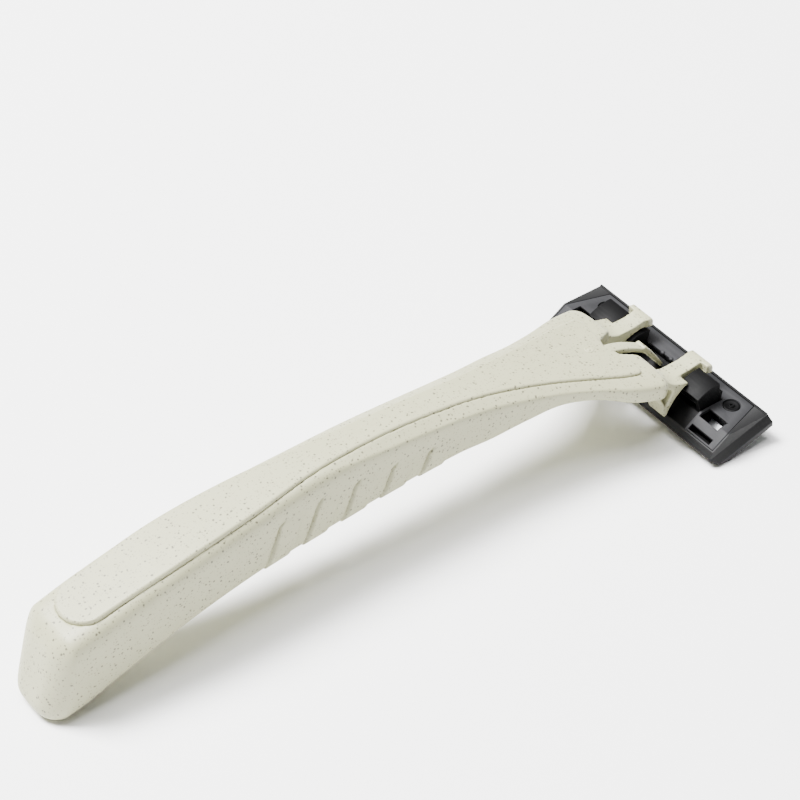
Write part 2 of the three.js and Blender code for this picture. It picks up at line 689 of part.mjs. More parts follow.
// Grey back plate: a strip along the front and a tab at each end.
function backPlate() {
  const stripRear = PLATE_STRIP_REAR_X + FIT_GAP;
  const open = block(PLATE_REAR_X - 1, stripRear, -PLATE_TAB_Y, PLATE_TAB_Y, 0, 9);
  let plate = plateBlank(0, 0).subtract(open).subtract(windowHoles(0));
  plate = plate.subtract(rivetHoles(RIVET_SHANK_R + 0.1, -1, 4));
  return plate.subtract(rivetHoles(COUNTERBORE_R, -1, COUNTERBORE_DEPTH));
}

const supportLegX = (index) => BLADE_FIRST_X + index * BLADE_PITCH + 1.42;

// A blade: a flat strip whose bevelled edge just reaches the shaving face.
function blade(index) {
  const outline = polygon([
    [0, 0],
    [0.35, -BLADE_THICK / 2],
    [BLADE_WIDTH, -BLADE_THICK / 2],
    [BLADE_WIDTH, BLADE_THICK / 2],
    [0.35, BLADE_THICK / 2],
  ]);
  return acrossWidth(outline, -BLADE_HALF, BLADE_HALF)
    .rotate([0, -THREE.MathUtils.radToDeg(BLADE_ANGLE), 0])
    .translate([BLADE_FIRST_X + index * BLADE_PITCH, 0, FACE_Z + 0.03]);
}

// A bent support: its sloping part carries the blade, and its leg stands in the seat's slot.
function bladeSupport(index) {
  const cos = Math.cos(BLADE_ANGLE);
  const sin = Math.sin(BLADE_ANGLE);
  const lift = BLADE_THICK / 2 + 0.04;
  const at = (along, up) => [
    BLADE_FIRST_X + index * BLADE_PITCH + along * cos - up * sin,
    FACE_Z + 0.03 + along * sin + up * cos,
  ];
  const legX = supportLegX(index);
  const [, bendZ] = at(1.5, lift);
  const outline = polygon([
    at(0.55, lift),
    at(1.45, lift),
    [legX + SUPPORT_THICK, bendZ + 0.12],
    [legX + SUPPORT_THICK, bendZ + SUPPORT_LEG],
    [legX, bendZ + SUPPORT_LEG],
    [legX, bendZ + 0.3],
    at(0.55, lift + SUPPORT_THICK * 0.8),
  ]);
  return acrossWidth(outline, -BLADE_HALF + 0.3, BLADE_HALF - 0.3);
}

// A flat-headed rivet with a raised hollow stud, set in the plate's counterbore.
function rivet(side) {
  const profile = [
    [0, -RIVET_LENGTH], [RIVET_SHANK_R, -RIVET_LENGTH], [RIVET_SHANK_R, -COUNTERBORE_DEPTH + 0.02],
    [RIVET_HEAD_R, -COUNTERBORE_DEPTH + 0.02], [RIVET_HEAD_R, -0.1], [1.1, -0.02],
    [0.8, -0.12], [0.5, -0.12], [0.45, 0.08], [0.25, 0.08], [0.2, -0.2], [0, -0.2],
  ];
  const geometry = new THREE.LatheGeometry(profile.map(([x, y]) => new THREE.Vector2(x, y)), 20);
  geometry.rotateX(Math.PI / 2);
  return onFrontSlope(geometry, side);
}

// ---- Assembly ----
const cartridge = new THREE.Group();
cartridge.position.set(0, 0, PIVOT_Z);
cartridge.rotation.y = -TILT;
cartridge.add(piece("cartridge_frame", cartridgeFrame(), DARK_PLASTIC));
cartridge.add(piece("bearing_seat", bearingSeat(), BLACK_PLASTIC));
cartridge.add(piece("back_plate", backPlate(), GREY_PLASTIC));
cartridge.add(piece("guard_strip", guardStrip(), SOFT_RUBBER));
cartridge.add(piece("lubricating_strip", lubricatingStrip(), STRIP_POLYMER));
for (let i = 0; i < BLADE_COUNT; i += 1) {
  cartridge.add(piece(`blade_${i + 1}`, blade(i), BLADE_STEEL));
  cartridge.add(piece(`blade_support_${i + 1}`, bladeSupport(i), SUPPORT_STEEL));
}
cartridge.add(piece("rivet_left", rivet(1), BLACK_PLASTIC));
cartridge.add(piece("rivet_right", rivet(-1), BLACK_PLASTIC));

const razor = new THREE.Group();
razor.add(piece("handle_body", handleBody(), STONE_PLASTIC));
razor.add(piece("top_cover", topCover(), STONE_PLASTIC));
razor.add(piece("spring_tongue", springTongue(), STONE_PLASTIC));
razor.add(cartridge);

const extent = new THREE.Box3().setFromObject(razor, true);
const middle = extent.getCenter(new THREE.Vector3());
razor.position.set(-middle.x, -middle.y, -extent.min.z);

const model = new THREE.Group();
model.add(razor);
model.updateMatrixWorld(true);

export default model;
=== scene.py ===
import json
import math

import bmesh
import bpy
from mathutils import Matrix, Vector


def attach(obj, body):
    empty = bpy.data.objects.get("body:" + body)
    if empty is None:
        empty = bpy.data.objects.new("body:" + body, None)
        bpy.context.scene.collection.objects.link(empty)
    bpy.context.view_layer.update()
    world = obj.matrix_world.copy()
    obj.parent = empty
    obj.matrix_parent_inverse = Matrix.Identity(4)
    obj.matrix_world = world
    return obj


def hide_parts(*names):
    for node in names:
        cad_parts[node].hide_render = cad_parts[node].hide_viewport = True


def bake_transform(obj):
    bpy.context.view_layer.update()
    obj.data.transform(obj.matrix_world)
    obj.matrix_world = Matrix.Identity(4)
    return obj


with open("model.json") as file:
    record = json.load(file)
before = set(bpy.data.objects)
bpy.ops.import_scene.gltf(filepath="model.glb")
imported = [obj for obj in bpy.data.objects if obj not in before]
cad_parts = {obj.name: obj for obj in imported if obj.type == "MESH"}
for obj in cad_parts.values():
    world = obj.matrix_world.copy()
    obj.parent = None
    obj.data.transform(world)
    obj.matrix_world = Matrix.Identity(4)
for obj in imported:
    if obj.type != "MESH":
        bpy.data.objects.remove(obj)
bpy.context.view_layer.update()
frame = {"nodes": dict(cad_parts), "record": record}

# ---- The table, the light and the camera ----
# The razor lies on a white matt table top, in a large soft window light from behind and to the
# left. From the camera's height the table fills the view and shows no edge.
MM = 0.001
PIVOT = Vector(frame["record"]["behaviour"]["joints"][0]["pos_m"])
VIEW_AZIMUTH = math.radians(-36.72)
VIEW_ELEVATION = math.radians(41.52)
VIEW_DISTANCE = 0.39955
LENS_MM = 112.5
AIM = Vector((0.02004, 0.02122, 0.0002))
ROOM_STRENGTH, WINDOW_WATTS, CEILING_WATTS = 0.26, 80.0, 26.0


def linear(colour):
    """An sRGB hex colour, such as '#dddccf', as linear red, green, blue and alpha."""
    channels = [int(colour[i:i + 2], 16) / 255 for i in (1, 3, 5)]
    return tuple(c / 12.92 if c <= 0.04045 else ((c + 0.055) / 1.055) ** 2.4
                 for c in channels) + (1.0,)


def add_node(tree, kind, settings=None, links=None):
    """Adds a node, sets its properties and input values, and links its inputs to sockets."""
    made = tree.nodes.new(kind)
    for key, value in (settings or {}).items():
        if isinstance(key, str) and hasattr(made, key):
            setattr(made, key, value)
        else:
            made.inputs[key].default_value = value
    for key, socket in (links or {}).items():
        tree.links.new(socket, made.inputs[key])
    return made


def new_material(name):
    """An empty material: its node tree, its surface shader and its object coordinates."""
    material = bpy.data.materials.new(name)
    material.use_nodes = True
    tree = material.node_tree
    tree.nodes.clear()
    out = tree.nodes.new("ShaderNodeOutputMaterial")
    shader = tree.nodes.new("ShaderNodeBsdfPrincipled")
    tree.links.new(shader.outputs["BSDF"], out.inputs["Surface"])
    place = tree.nodes.new("ShaderNodeTexCoord").outputs["Object"]
    return material, tree, shader, place


def put(name, bm, material, smooth=True):
    """Turns a bmesh into an object with one material."""
    mesh = bpy.data.meshes.new(name)
    bm.to_mesh(mesh)
    bm.free()
    piece = bpy.data.objects.new(name, mesh)
    bpy.context.scene.collection.objects.link(piece)
    mesh.materials.append(material)
    for face in mesh.polygons:
        face.use_smooth = smooth
    return piece


# Painted board: a dead matt white with a very faint unevenness.
board, tree, shader, place = new_material("matt_white_board")
cloud = add_node(tree, "ShaderNodeTexNoise", {"Scale": 9.0, "Detail": 2.0}, {"Vector": place})
tone = add_node(tree, "ShaderNodeMix",
                {"data_type": "RGBA", 6: linear("#fcfcfc"), 7: linear("#f7f7f7")},
                {0: cloud.outputs["Fac"]})
tree.links.new(tone.outputs[2], shader.inputs["Base Color"])
shader.inputs["Roughness"].default_value = 0.9
shader.inputs["Specular IOR Level"].default_value = 0.1

bm = bmesh.new()
bmesh.ops.create_grid(bm, x_segments=2, y_segments=2, size=3.0)
table = put("table_top", bm, board)

scene = bpy.context.scene
sky = bpy.data.worlds.new("soft_room")
scene.world = sky
sky.use_nodes = True
sky.node_tree.nodes["Background"].inputs["Color"].default_value = linear("#ffffff")
sky.node_tree.nodes["Background"].inputs["Strength"].default_value = ROOM_STRENGTH


def soft_light(name, place, aim, width, power):
    lamp = bpy.data.lights.new(name, "AREA")
    lamp.shape = "SQUARE"
    lamp.size = width
    lamp.energy = power
    holder = bpy.data.objects.new(name, lamp)
    scene.collection.objects.link(holder)
    holder.location = place
    holder.rotation_euler = (Vector(aim) - Vector(place)).to_track_quat("-Z", "Y").to_euler()
    return holder


soft_light("window", (-0.35, 0.5, 1.1), (0, 0, 0), 0.5, WINDOW_WATTS)
soft_light("ceiling", (0.0, 0.15, 1.3), (0, 0, 0), 0.9, CEILING_WATTS)

camera = bpy.data.objects.new("camera", bpy.data.cameras.new("camera"))
scene.collection.objects.link(camera)
camera.data.lens = LENS_MM
camera.data.sensor_width = 36.0
camera.data.clip_start = 0.01
back = Vector((math.sin(VIEW_AZIMUTH) * math.cos(VIEW_ELEVATION),
               -math.cos(VIEW_AZIMUTH) * math.cos(VIEW_ELEVATION),
               math.sin(VIEW_ELEVATION)))
camera.location = AIM + back * VIEW_DISTANCE
camera.rotation_euler = (-back).to_track_quat("-Z", "Y").to_euler()
scene.camera = camera


# ---- Handle body ----
# One injection moulding in a stone-coloured plastic filled with plant fibre: the arched grip with
# its five raised pads, the flare, and the yoke's two arms, T-shaped tips, rails and legs.
# Everything is in millimetres from the pivot axis, and set on the CAD's pivot at the end.
AXIS_Z = 1.0
STATIONS = [
    (-119.0, 4.20, 13.00, 5.90, 12.40, 0.00), (-112.5, 4.40, 14.60, 6.10, 14.00, 0.00),
    (-104.5, 4.50, 16.35, 6.20, 15.80, 3.00), (-92.5, 4.70, 18.80, 6.05, 18.25, 6.60),
    (-80.5, 4.10, 20.30, 5.40, 19.60, 8.45), (-68.5, 2.80, 21.25, 4.70, 20.10, 9.15),
    (-56.5, 2.35, 21.25, 4.75, 19.65, 10.40), (-44.5, 2.55, 20.30, 5.00, 18.80, 11.25),
    (-38.5, 2.95, 19.50, 5.40, 18.15, 11.30), (-32.5, 3.80, 18.45, 6.20, 17.25, 12.40),
    (-26.5, 4.95, 17.20, 7.05, 16.00, 13.10), (-20.5, 6.40, 15.75, 8.65, 14.65, 12.10),
    (-14.5, 7.80, 14.20, 10.80, 13.20, 9.70), (-6.5, 8.60, 12.30, 12.20, 11.40, 8.00),
]
SQUARENESS = 5
PANEL_STEP = 0.35
BUTT_X, BUTT_LEAN, BUTT_CORNER, BUTT_HALF, BUTT_EDGE = -115.6, 0.31, 4.8, 6.6, 2.6
NOSE_X, NOSE_HALF, NOSE_CORNER = -8.3, 12.0, 2.6
PANEL_BACK_X, PANEL_BACK_ROUND, PANEL_DIP_X, PANEL_FRONT_X = -106.5, 4.0, -12.5, -11.2
PAD_COUNT, PAD_FIRST_X, PAD_PITCH, PAD_LENGTH, PAD_RISE, PAD_LEAN = 5, -80.0, 7.0, 4.2, 0.24, 0.42
PADS_FROM_X, PADS_TO_X = -82, -44
GROOVE_WIDTH, GROOVE_DEPTH = 0.5, 0.6
LEG_R, HOOD_IN_R, ARM_R, RAIL_R = 7.7, 6.75, 6.45, 5.75
ARM_IN_Y, ARM_OUT_Y, TIP_IN_Y, TIP_OUT_Y = 5.0, 8.0, 4.75, 9.5
RAIL_IN_Y, RAIL_WEB_Y, RAIL_OUT_Y, RAIL_FRONT_DEG, RAIL_REAR_DEG = 7.75, 8.15, 9.4, 84, 112
LEG_IN_Y, LEG_OUT_Y, LEG_POCKET_Y = 6.1, 9.9, 8.5
REMESH_MM, SMOOTH_ROUNDS, FACES_KEPT = 0.2, 7, 0.45


def handle_at(x):
    """Panel half width, crest, half width, shoulder and belly, on a smooth curve through rows."""
    last = len(STATIONS) - 1
    i = max(0, min(last - 1, sum(1 for row in STATIONS if row[0] <= x) - 1))
    a, b = STATIONS[i], STATIONS[i + 1]
    before, after = STATIONS[max(i - 1, 0)], STATIONS[min(i + 2, last)]
    span = b[0] - a[0]
    t = (x - a[0]) / span
    read = []
    for k in range(1, 6):
        slope_a = (b[k] - before[k]) / (b[0] - before[0]) * span
        slope_b = (after[k] - a[k]) / (after[0] - a[0]) * span
        rise = b[k] - a[k]
        read.append(a[k] + slope_a * t + (3 * rise - 2 * slope_a - slope_b) * t * t
                    + (slope_a + slope_b - 2 * rise) * t ** 3)
    return read


def round_off(distance, radius):
    """How far a rounded edge lies inside its corner at a distance from the end."""
    if distance >= radius:
        return 0.0
    return radius - math.sqrt(max(0.0, radius ** 2 - (radius - distance) ** 2))


def squared(value):
    return math.copysign(abs(value) ** (2 / SQUARENESS), value)


def pad_rise(x, z, belly, shoulder):
    """The pads: a narrow groove along each one's back edge, and a step down at its front."""
    top = shoulder - 2.8
    if z > top:
        return 0.0
    along = x - PAD_FIRST_X - (z - belly) * PAD_LEAN - max(0.0, z - top + 0.9) * 0.8
    index = math.floor((along + GROOVE_WIDTH) / PAD_PITCH)
    if index < 0 or index >= PAD_COUNT:
        return 0.0
    t = along - index * PAD_PITCH
    fade = min(1.0, (top - z) / 0.8)
    if t < 0:
        return -GROOVE_DEPTH * fade * math.sin(math.pi * min(1.0, -t / GROOVE_WIDTH))
    return PAD_RISE * min(1.0, max(0.0, (PAD_LENGTH - t) / 0.4)) * min(1.0, (top - z) / 3.0)


def skin(x0, angle):
    """A point of the grip's skin, at a distance along the handle and an angle round it."""
    panel, crest, half, shoulder, belly = handle_at(x0)
    end = x0 - BUTT_X
    nose = NOSE_X + 0.3 - x0
    top = crest - PANEL_STEP - round_off(end, BUTT_EDGE) - round_off(nose, 1.2)
    bottom = belly + round_off(end, BUTT_EDGE) + round_off(nose, 0.9)
    if end < BUTT_CORNER:
        half = min(half, BUTT_HALF - round_off(end, BUTT_CORNER))
    half = min(half, NOSE_HALF - 0.3 - round_off(nose, NOSE_CORNER))
    middle = (top + bottom) / 2
    y = half * squared(math.cos(angle))
    z = middle + (top - bottom) / 2 * squared(math.sin(angle))
    fall = (crest - PANEL_STEP - shoulder) / max(0.5, handle_at(x0)[2] - panel)
    z = min(z, top - max(0.0, abs(y) - panel) * fall)
    lean = BUTT_LEAN * (z - 7) * max(0.0, 1 - end / 14) ** 2
    return x0 + lean, y, z


def arc(cx, cz, radius, from_deg, to_deg, steps=16):
    turn = [math.radians(from_deg + (to_deg - from_deg) * i / steps) for i in range(steps + 1)]
    return [(cx + radius * math.cos(a), cz + radius * math.sin(a)) for a in turn]


def bezier(*points, steps=12):
    """Points of a cubic curve with four control points."""
    made = []
    for i in range(steps + 1):
        t = i / steps
        w = ((1 - t) ** 3, 3 * t * (1 - t) ** 2, 3 * t * t * (1 - t), t ** 3)
        made.append(tuple(sum(w[k] * points[k][axis] for k in range(4)) for axis in (0, 1)))
    return made


def ring_arc(inner, outer, from_deg, to_deg):
    return (arc(0, AXIS_Z, outer, from_deg, to_deg) + arc(0, AXIS_Z, inner, to_deg, from_deg))


def slab(bm, outline, low, high, plan=False):
    """Extrudes an outline: a side view along Y, or a plan up Z. Returns its new vertices."""
    if plan:
        verts = [bm.verts.new((a, b, low)) for a, b in outline]
        step = (0, 0, high - low)
    else:
        verts = [bm.verts.new((a, low, b)) for a, b in outline]
        step = (0, high - low, 0)
    face = bm.faces.new(verts)
    grown = bmesh.ops.extrude_face_region(bm, geom=[face])["geom"]
    new = [item for item in grown if isinstance(item, bmesh.types.BMVert)]
    bmesh.ops.translate(bm, verts=new, vec=step)
    shell = set(verts + new)
    faces = list({f for v in shell for f in v.link_faces})
    bmesh.ops.recalc_face_normals(bm, faces=faces)
    return list(shell)


def rough_solid(name, bm):
    mesh = bpy.data.meshes.new(name)
    bm.to_mesh(mesh)
    bm.free()
    blank = bpy.data.objects.new(name, mesh)
    scene.collection.objects.link(blank)
    return blank


def settled(blank):
    """The mesh that an object's modifiers leave, as a bmesh. The object is removed."""
    bpy.context.view_layer.update()
    seen = blank.evaluated_get(bpy.context.evaluated_depsgraph_get())
    bm = bmesh.new()
    bm.from_mesh(seen.to_mesh())
    seen.to_mesh_clear()
    bpy.data.objects.remove(blank)
    return bm


def cut_away(blank, cutters):
    for cutter in cutters:
        change = blank.modifiers.new(cutter.name, "BOOLEAN")
        change.operation = "DIFFERENCE"
        change.solver = "EXACT"
        change.object = cutter
    bm = settled(blank)
    for cutter in cutters:
        bpy.data.objects.remove(cutter)
    return bm


def panel_outline(grow):
    """Half widths of the top panel with its round back end and its two front lobes."""
    side = []
    x = PANEL_BACK_X
    while x < -13.0:
        side.append((x, handle_at(x)[0] + grow))
        x += 1.5
    back_round = PANEL_BACK_ROUND + grow
    lobe = handle_at(-12.7)[0] + grow
    front = PANEL_FRONT_X + grow
    turn = [math.radians(a) for a in range(264, 95, -6)]
    back = [(PANEL_BACK_X + back_round * math.cos(a), side[0][1] * math.sin(a)) for a in turn]
    near = [(PANEL_DIP_X + grow, -1.95), (front - 0.5, -4.2), (front, -lobe + 1.2),
            (front - 0.4, -lobe + 0.3), (front - 1.5, -lobe)]
    return (near + [(x, -y) for x, y in reversed(side)] + back + side
            + [(x, -y) for x, y in reversed(near)])


bm = bmesh.new()
LENGTH_STEPS, ROUND_STEPS = 300, 120
bmesh.ops.create_grid(bm, x_segments=LENGTH_STEPS, y_segments=ROUND_STEPS, size=1.0)
for vert in bm.verts:
    s = (vert.co.x + 1) / 2
    along = BUTT_X + (NOSE_X + 0.3 - BUTT_X) * (s - math.sin(2 * math.pi * s) / (2 * math.pi) * 0.8)
    vert.co = skin(along, vert.co.y * math.pi)
bmesh.ops.remove_doubles(bm, verts=bm.verts, dist=1e-4)
bmesh.ops.holes_fill(bm, edges=[e for e in bm.edges if e.is_boundary], sides=0)
bmesh.ops.recalc_face_normals(bm, faces=bm.faces)
grip = rough_solid("grip_blank", bm)

bm = bmesh.new()
bmesh.ops.create_cone(bm, cap_ends=True, segments=160, radius1=LEG_R, radius2=LEG_R, depth=60)
bmesh.ops.rotate(bm, verts=bm.verts, matrix=Matrix.Rotation(math.pi / 2, 3, "X"))
bmesh.ops.translate(bm, verts=bm.verts, vec=(0, 0, AXIS_Z))
head_room = rough_solid("head_room", bm)

bm = bmesh.new()
half_notch = (bezier((-12.6, 0.9), (-11.6, 2.6), (-9.6, 2.7), (-7.6, 4.2), steps=14)
              + [(-5.8, 5.0), (4.0, 5.0)])
slab(bm, [(x, -y) for x, y in half_notch] + list(reversed(half_notch)), -2, 20, plan=True)
notch = rough_solid("notch", bm)

bm = bmesh.new()
slab(bm, panel_outline(-0.08), 0, 1, plan=True)
bmesh.ops.triangulate(bm, faces=bm.faces)
for vert in bm.verts:
    crest = handle_at(min(-8.0, vert.co.x))[1]
    vert.co.z = crest + 3 if vert.co.z > 0.5 else crest - 1.7
panel_seat = rough_solid("panel_seat", bm)

body_bm = cut_away(grip, [head_room, notch, panel_seat])

for side in (-1, 1):
    arm = ([(-10.8, 9.6), (-10.8, 12.5)]
           + bezier((-10.5, 12.4), (-8.2, 11.6), (-7.2, 8.7), (-4.2, 8.6))
           + bezier((-4.0, 8.6), (-2.4, 8.6), (-1.1, 8.7), (0.2, 9.0))
           + [(1.5, 9.0)] + arc(0, AXIS_Z, ARM_R, 73.8, 128, 24))
    slab(body_bm, arm, side * ARM_IN_Y, side * ARM_OUT_Y)
    tip = [(0.95, 7.5), (2.15, 7.15), (2.35, 8.1), (2.05, 8.85), (1.0, 9.05)]
    slab(body_bm, tip, side * TIP_IN_Y, side * TIP_OUT_Y)
    web = ring_arc(RAIL_R, HOOD_IN_R, RAIL_FRONT_DEG, RAIL_REAR_DEG)
    slab(body_bm, web, side * RAIL_IN_Y, side * RAIL_WEB_Y)
    rail = ring_arc(RAIL_R, ARM_R, RAIL_FRONT_DEG, RAIL_REAR_DEG)
    slab(body_bm, rail, side * RAIL_IN_Y, side * RAIL_OUT_Y)
    bm = bmesh.new()
    leg = ([(-7.9, 3.3), (-8.7, 6.3), (-10.2, 8.8), (-10.2, 11.8), (-8.4, 11.2)]
           + bezier((-8.2, 11.0), (-7.0, 9.6), (-5.8, 8.8), (-4.3, 8.55), steps=8)
           + arc(0, AXIS_Z, LEG_R, 113, 161, 24))
    slab(bm, leg, side * LEG_IN_Y, side * LEG_OUT_Y)
    blank = rough_solid("leg", bm)
    bm = bmesh.new()
    slab(bm, [(-7.75, 9.0), (-6.4, 8.0), (-7.15, 6.7), (-7.75, 5.2), (-8.25, 6.5), (-9.2, 8.4)],
         side * LEG_POCKET_Y, side * 12)
    leg_bm = cut_away(blank, [rough_solid("leg_pocket", bm)])
    kept = bpy.data.meshes.new("leg")
    leg_bm.to_mesh(kept)
    leg_bm.free()
    body_bm.from_mesh(kept)

blank = rough_solid("handle_blank", body_bm)
change = blank.modifiers.new("one_moulding", "REMESH")
change.mode = "VOXEL"
change.voxel_size = REMESH_MM
change = blank.modifiers.new("flowed_edges", "SMOOTH")
change.factor = 0.5
change.iterations = SMOOTH_ROUNDS
handle_bm = settled(blank)
handle_bm.normal_update()
pushed = []
for vert in handle_bm.verts:
    if PADS_FROM_X < vert.co.x < PADS_TO_X and vert.normal.z < 0.3:
        shoulder, belly = handle_at(vert.co.x)[3:]
        rise = pad_rise(vert.co.x, vert.co.z, belly, shoulder)
        pushed.append((vert, vert.normal * rise))
for vert, push in pushed:
    vert.co += push
blank = rough_solid("handle_padded", handle_bm)
change = blank.modifiers.new("fewer_faces", "DECIMATE")
change.ratio = FACES_KEPT
handle_bm = settled(blank)


def set_down(bm):
    """From millimetres about the pivot axis to metres on the table."""
    bmesh.ops.scale(bm, verts=bm.verts, vec=(MM, MM, MM))
    bmesh.ops.translate(bm, verts=bm.verts, vec=PIVOT - Vector((0, 0, AXIS_Z * MM)))


set_down(handle_bm)

# Plant-fibre filled polypropylene, moulded with a satin skin: a warm grey-white with scattered
# brown-grey flecks 0.4 mm across, and paler ones 0.3 mm across. The skin is slightly uneven, so
# its highlight is broad and soft.
stone, tree, shader, place = new_material("fibre_filled_polypropylene")
drift = add_node(tree, "ShaderNodeTexNoise", {"Scale": 1 / (0.7 * MM), "Detail": 2.0},
                 {"Vector": place})
wander = add_node(tree, "ShaderNodeVectorMath", {"operation": "SCALE", "Scale": 0.35 * MM},
                  {0: drift.outputs["Color"]})
bent = add_node(tree, "ShaderNodeVectorMath", {"operation": "ADD"},
                {0: place, 1: wander.outputs["Vector"]})


def flecks(cell_mm, reach, share):
    """A mask of flecks: one in some cells, soft edged, from 0 to 1."""
    cells = add_node(tree, "ShaderNodeTexVoronoi", {"Scale": 1 / (cell_mm * MM)},
                     {"Vector": bent.outputs["Vector"]})
    spot = add_node(tree, "ShaderNodeMapRange", {"From Min": reach * 0.6, "From Max": reach,
                                                 "To Min": 1.0, "To Max": 0.0},
                    {"Value": cells.outputs["Distance"]})
    pick = add_node(tree, "ShaderNodeSeparateColor", {}, {"Color": cells.outputs["Color"]})
    chosen = add_node(tree, "ShaderNodeMath", {"operation": "LESS_THAN", 1: share},
                      {0: pick.outputs["Red"]})
    return add_node(tree, "ShaderNodeMath", {"operation": "MULTIPLY"},
                    {0: spot.outputs["Result"], 1: chosen.outputs["Value"]}).outputs["Value"]


cloud = add_node(tree, "ShaderNodeTexNoise", {"Scale": 1 / (3 * MM), "Detail": 3.0},
                 {"Vector": place})
base = add_node(tree, "ShaderNodeMix",
                {"data_type": "RGBA", 6: linear("#aaa98a"), 7: linear("#a1a080")},
                {0: cloud.outputs["Fac"]})
fine = add_node(tree, "ShaderNodeMath", {"operation": "MULTIPLY", 1: 0.55},
                {0: flecks(0.42, 0.36, 0.5)})
with_fine = add_node(tree, "ShaderNodeMix", {"data_type": "RGBA", 7: linear("#6f6b5a")},
                     {0: fine.outputs["Value"], 6: base.outputs[2]})
coarse = add_node(tree, "ShaderNodeMath", {"operation": "MULTIPLY", 1: 0.8},
                  {0: flecks(0.7, 0.29, 0.5)})
with_both = add_node(tree, "ShaderNodeMix", {"data_type": "RGBA", 7: linear("#433f34")},
                     {0: coarse.outputs["Value"], 6: with_fine.outputs[2]})
tree.links.new(with_both.outputs[2], shader.inputs["Base Color"])
shader.inputs["Roughness"].default_value = 0.48
shader.inputs["IOR"].default_value = 1.49
grain = add_node(tree, "ShaderNodeTexNoise", {"Scale": 1 / (0.5 * MM), "Detail": 3.0},
                 {"Vector": place})
relief = add_node(tree, "ShaderNodeBump", {"Strength": 0.12, "Distance": 0.05 * MM},
                  {"Height": grain.outputs["Fac"]})
tree.links.new(relief.outputs["Normal"], shader.inputs["Normal"])

handle = put("handle_moulding", handle_bm, stone)
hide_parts("handle_body")
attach(handle, "handle")

# ---- Top cover ----
# A strip of the same plastic pressed into the handle's top. Its face follows the arch and stands
# a third of a millimetre proud, with a softly rounded rim.
COVER_LONG, COVER_ACROSS = 220, 36
RIM_ROUND = 0.45


def cover_point(s, t):
    """A point of the cover's face: s runs from back to front, t from side to side."""
    back_end = PANEL_BACK_X - PANEL_BACK_ROUND * math.sqrt(max(0.0, 1 - t * t))
    reach = abs(t)
    if reach < 0.25:
        front_end = PANEL_DIP_X + 0.8 * reach / 0.25
    else:
        front_end = PANEL_DIP_X + 0.8 + 0.5 * (reach - 0.25) / 0.5
    front_end = min(front_end, PANEL_FRONT_X) - round_off((1 - reach) * 7.8, 1.4)
    x = back_end + (front_end - back_end) * s
    half = handle_at(max(x, PANEL_BACK_X))[0]
    rim = min(half * (1 - reach), x - back_end, front_end - x)
    crest = handle_at(x)[1]
    return x, half * t, crest - round_off(max(0.0, rim), RIM_ROUND) * 0.8


bm = bmesh.new()
bmesh.ops.create_grid(bm, x_segments=COVER_LONG, y_segments=COVER_ACROSS, size=1.0)
for vert in bm.verts:
    s = (vert.co.x + 1) / 2
    s = s - math.sin(2 * math.pi * s) / (2 * math.pi) * 0.97
    vert.co = cover_point(s, math.sin(vert.co.y * math.pi / 2))
under = bmesh.ops.extrude_face_region(bm, geom=bm.faces[:])["geom"]
for item in under:
    if isinstance(item, bmesh.types.BMVert):
        item.co.z = handle_at(item.co.x)[1] - 1.45
bmesh.ops.remove_doubles(bm, verts=bm.verts, dist=1e-4)
bmesh.ops.recalc_face_normals(bm, faces=bm.faces)
set_down(bm)
cover = put("top_cover_strip", bm, stone)
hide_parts("top_cover")
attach(cover, "handle")

# The mark where the plastic was fed in: a thin ring with a nub in it, just behind the tongue.
GATE_X = -15.7
GATE_PROFILE = [(0.0, 0.15), (0.18, 0.13), (0.27, 0.01), (0.48, 0.0), (0.6, 0.09), (0.7, 0.07),
                (0.78, -0.04), (0.78, -0.3), (0.0, -0.3)]
bm = bmesh.new()
line = [bm.verts.new((r, 0, z)) for r, z in GATE_PROFILE]
links = [bm.edges.new((line[i], line[i + 1])) for i in range(len(line) - 1)]
bmesh.ops.spin(bm, geom=line + links, cent=(0, 0, 0), axis=(0, 0, 1), angle=2 * math.pi, steps=32,
               use_merge=True)
bmesh.ops.remove_doubles(bm, verts=bm.verts, dist=1e-4)
bmesh.ops.recalc_face_normals(bm, faces=bm.faces)
crest, ahead = handle_at(GATE_X)[1], handle_at(GATE_X + 1)[1]
bmesh.ops.rotate(bm, verts=bm.verts, matrix=Matrix.Rotation(math.atan(crest - ahead), 3, "Y"))
bmesh.ops.translate(bm, verts=bm.verts, vec=(GATE_X, 0, crest))
set_down(bm)
gate = put("cover_gate_mark", bm, stone)
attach(gate, "handle")

# ---- Spring tongue ----
# The cover's own tongue, 2 mm wide and under 1 mm thick: level over the notch, then bent down to
# press on the cartridge.
TONGUE_HALF = 1.05
top_line = bezier((-12.45, 13.0), (-9.4, 12.55), (-6.8, 11.05), (-4.95, 9.95), steps=14)
top_line += [(-4.75, 10.12), (-4.35, 10.05)]
top_line += bezier((-4.25, 9.9), (-3.3, 8.9), (-1.9, 6.9), (-0.4, 4.55), steps=14)
low_line = bezier((-0.92, 4.18), (-2.6, 6.3), (-3.7, 7.9), (-4.9, 9.0), steps=14)
low_line += bezier((-4.95, 9.05), (-6.8, 10.2), (-9.4, 11.6), (-12.45, 12.1), steps=14)[1:]
bm = bmesh.new()
slab(bm, top_line + low_line, -TONGUE_HALF, TONGUE_HALF)
long_edges = [e for e in bm.edges if len(e.link_faces) == 2 and e.calc_face_angle() > 0.9]
bmesh.ops.bevel(bm, geom=long_edges, offset=0.22, segments=3, profile=0.5, affect="EDGES",
                material=-1, clamp_overlap=True)
set_down(bm)
tongue = put("spring_tongue_bent", bm, stone)
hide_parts("spring_tongue")
tip = PIVOT + Vector((-0.6, 0, 3.4)) * MM
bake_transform(tongue)


